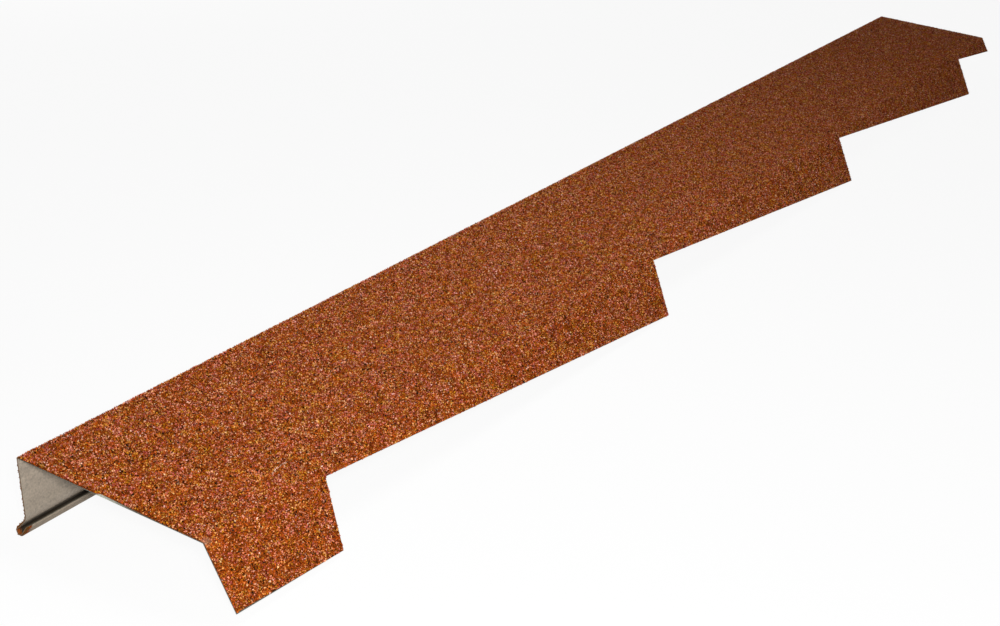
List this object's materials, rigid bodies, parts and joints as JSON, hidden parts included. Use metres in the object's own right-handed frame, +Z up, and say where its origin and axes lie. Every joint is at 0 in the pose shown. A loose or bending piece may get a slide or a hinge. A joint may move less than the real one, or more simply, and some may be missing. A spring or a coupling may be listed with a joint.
{
  "type": "gable flashing",
  "caption": "Long folded roof-edge flashing in stone-coated steel: flat cover, upright fascia with a kicked-out hem, and a sloping apron sheared in sawtooth steps.",
  "frame": {"origin": "on the floor, under the middle of the flashing's box", "axes": "+X along the length, from the end before the first step to the far end; -Y towards the stepped apron; +Z up"},
  "size_m": [1.291, 0.1442, 0.0453],
  "materials": {
    "stone_coat": "rough stone-chip coat in orange-brown on the outside, bare grey primer on the inside"
  },
  "bodies": {
    "root": {"gable_flashing": "stone_coat"}
  },
  "joints": []
}
